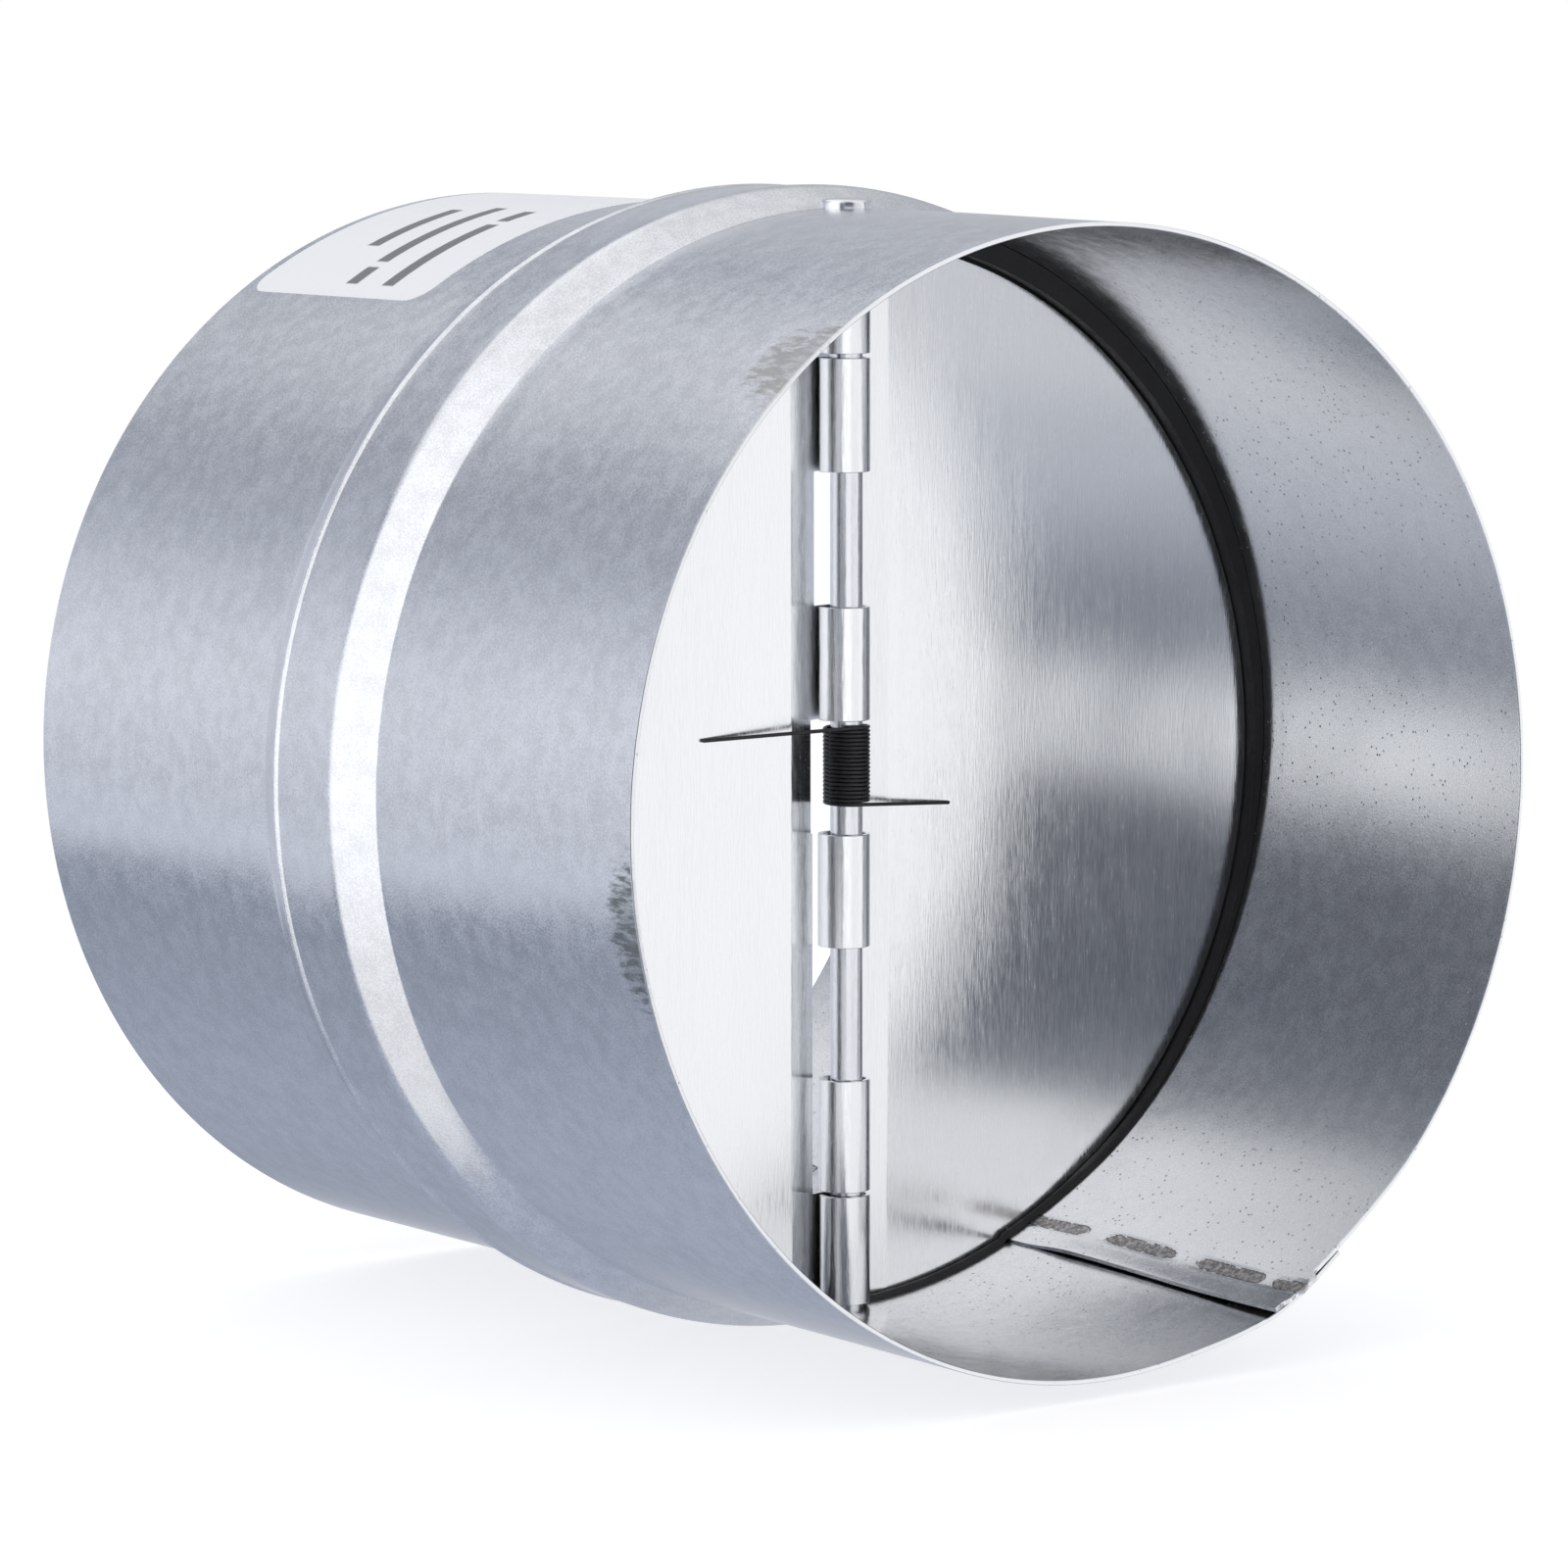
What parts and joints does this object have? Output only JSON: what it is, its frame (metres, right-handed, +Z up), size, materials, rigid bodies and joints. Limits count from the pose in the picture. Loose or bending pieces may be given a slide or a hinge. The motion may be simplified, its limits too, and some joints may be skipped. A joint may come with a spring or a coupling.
{
  "type": "backdraft damper",
  "caption": "Short round duct fitting with a raised bead, closed by two half-disc flaps on a vertical rod and a torsion spring that opens to airflow one way.",
  "frame": {"origin": "centre of the outlet rim, on the duct axis", "axes": "+Y along the duct against the airflow, towards the inlet; -Y is the outlet the blades open to; +Z up along the hinge rod; +X to the right when looking into the outlet"},
  "size_m": [0.1288, 0.1162, 0.1288],
  "materials": {
    "galvanised_steel": "satin galvanised",
    "rod_steel": "satin",
    "blade_aluminium": "brushed bright",
    "spring_black": "blackened satin",
    "seal_rubber": "matte",
    "label_paper": "matte"
  },
  "bodies": {
    "frame": {"casing": "galvanised_steel", "hinge_rod": "rod_steel", "torsion_spring": "spring_black", "seal_ring": "seal_rubber", "sticker": "label_paper"},
    "left_blade": {"blade_left": "blade_aluminium"},
    "right_blade": {"blade_right": "blade_aluminium"}
  },
  "joints": [
    {"name": "left_blade_swing", "type": "hinge", "parent": "frame", "child": "left_blade", "pos_m": [0, 0.04545, 0], "axis": [0, 0, 1], "range_deg": [0, 80], "stiffness_Nm_per_rad": 0.0012, "springref_deg": -20.05, "deforming": ["torsion_spring"]},
    {"name": "right_blade_swing", "type": "hinge", "parent": "frame", "child": "right_blade", "pos_m": [0, 0.04545, 0], "axis": [0, 0, -1], "range_deg": [0, 80], "stiffness_Nm_per_rad": 0.0012, "springref_deg": -20.05, "deforming": ["torsion_spring"]}
  ]
}
